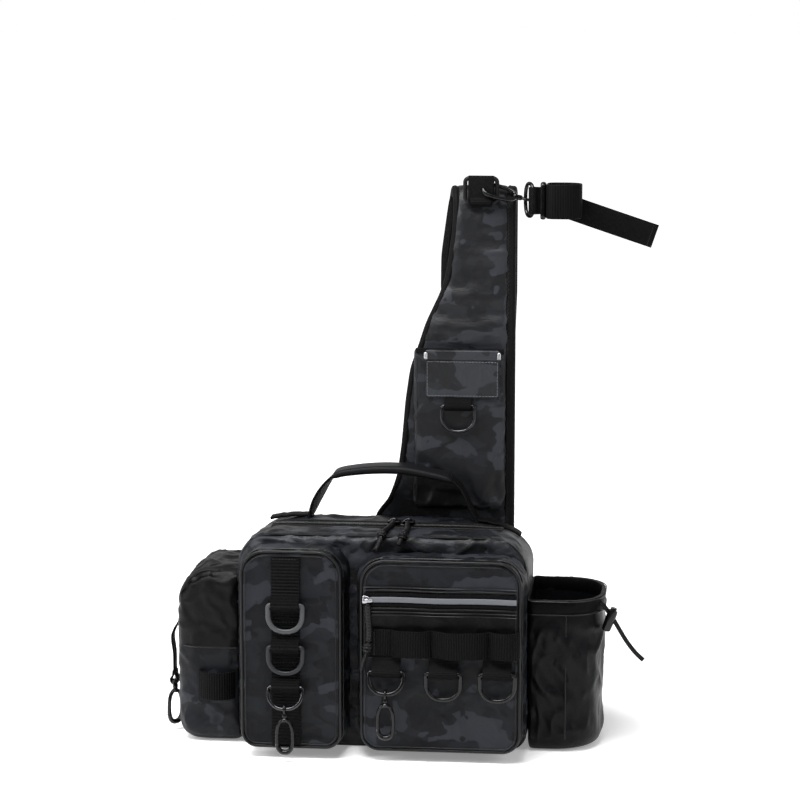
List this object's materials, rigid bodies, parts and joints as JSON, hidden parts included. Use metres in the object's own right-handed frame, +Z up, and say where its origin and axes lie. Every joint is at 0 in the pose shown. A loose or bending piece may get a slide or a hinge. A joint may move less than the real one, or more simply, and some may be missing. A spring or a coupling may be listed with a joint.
{
  "type": "fishing tackle sling bag",
  "caption": "Sling bag with a box body, front pockets, a side pocket, a bottle pocket, a carry handle and a folded padded strap with snap hooks and D-rings.",
  "frame": {"origin": "on the floor, below the middle of the main compartment, where its flat base rests", "axes": "+Z up, -Y to the front with the two front pockets, +X to the right seen from the front, towards the bottle pocket"},
  "size_m": [0.4175, 0.1842, 0.479],
  "materials": {
    "camo": "coated woven polyester with a dark camouflage print, slight sheen",
    "cloth": "plain black nylon, slight sheen",
    "webbing": "ribbed black webbing and binding, matt",
    "plastic": "moulded black plastic, satin to gloss",
    "grey_plastic": "moulded dark grey plastic, satin",
    "zip_strip": "grey reflective coated zip tape",
    "metal": "plated zinc slider",
    "cord": "braided black cord"
  },
  "bodies": {
    "root": {"body_shell": "camo", "main_zip": "webbing", "main_zip_slider_left": "metal", "main_zip_slider_right": "metal", "main_zip_pull_left": "cord", "main_zip_pull_right": "cord", "left_front_pocket": "camo", "daisy_webbing": "webbing", "ring_lower": "plastic", "left_snap_hook": "plastic", "right_front_pocket": "camo", "pocket_zip": "zip_strip", "pocket_zip_slider": "metal", "pocket_zip_pull": "cord", "tool_band": "webbing", "ring_tab_left": "webbing", "ring_tab_middle": "webbing", "ring_tab_right": "webbing", "pocket_ring_left": "plastic", "right_snap_hook": "plastic", "left_side_pocket": "camo", "side_tool_loop": "webbing", "hanging_strap": "webbing", "hanging_hook": "plastic", "bottle_pocket": "cloth", "bottle_rim": "webbing", "drawcord": "cord", "cord_lock": "plastic", "handle_webbing": "webbing", "handle_grip": "webbing", "strap_pad": "camo", "strap_pouch": "camo", "strap_flap": "camo", "strap_ring_tab": "webbing", "rear_webbing_upper": "webbing", "strap_buckle": "plastic", "rear_webbing_lower": "webbing", "shoulder_tab": "webbing", "shoulder_frame": "plastic", "shoulder_hook": "plastic", "oval_ring": "plastic", "rod_webbing": "webbing", "tri_glide": "plastic", "rod_loop": "webbing", "rod_tail": "webbing"},
    "upper_ring": {"ring_upper": "grey_plastic"},
    "middle_ring": {"ring_middle": "grey_plastic"},
    "pocket_middle_ring": {"pocket_ring_middle": "plastic"},
    "pocket_right_ring": {"pocket_ring_right": "plastic"},
    "strap_d_ring": {"strap_ring": "plastic"}
  },
  "joints": [
    {"name": "upper_ring_swing", "type": "hinge", "parent": "root", "child": "upper_ring", "pos_m": [-0.0755, -0.0922, 0.1326], "axis": [-1, 0, 0], "range_deg": [0, 100]},
    {"name": "middle_ring_swing", "type": "hinge", "parent": "root", "child": "middle_ring", "pos_m": [-0.0755, -0.0922, 0.097], "axis": [-1, 0, 0], "range_deg": [0, 100]},
    {"name": "pocket_middle_ring_swing", "type": "hinge", "parent": "root", "child": "pocket_middle_ring", "pos_m": [0.0559, -0.0922, 0.078], "axis": [-1, 0, 0], "range_deg": [0, 100]},
    {"name": "pocket_right_ring_swing", "type": "hinge", "parent": "root", "child": "pocket_right_ring", "pos_m": [0.1006, -0.0922, 0.078], "axis": [-1, 0, 0], "range_deg": [0, 100]},
    {"name": "strap_ring_swing", "type": "hinge", "parent": "root", "child": "strap_d_ring", "pos_m": [0.057, 0.0358, 0.2815], "axis": [-1, 0, 0], "range_deg": [0, 100]}
  ]
}
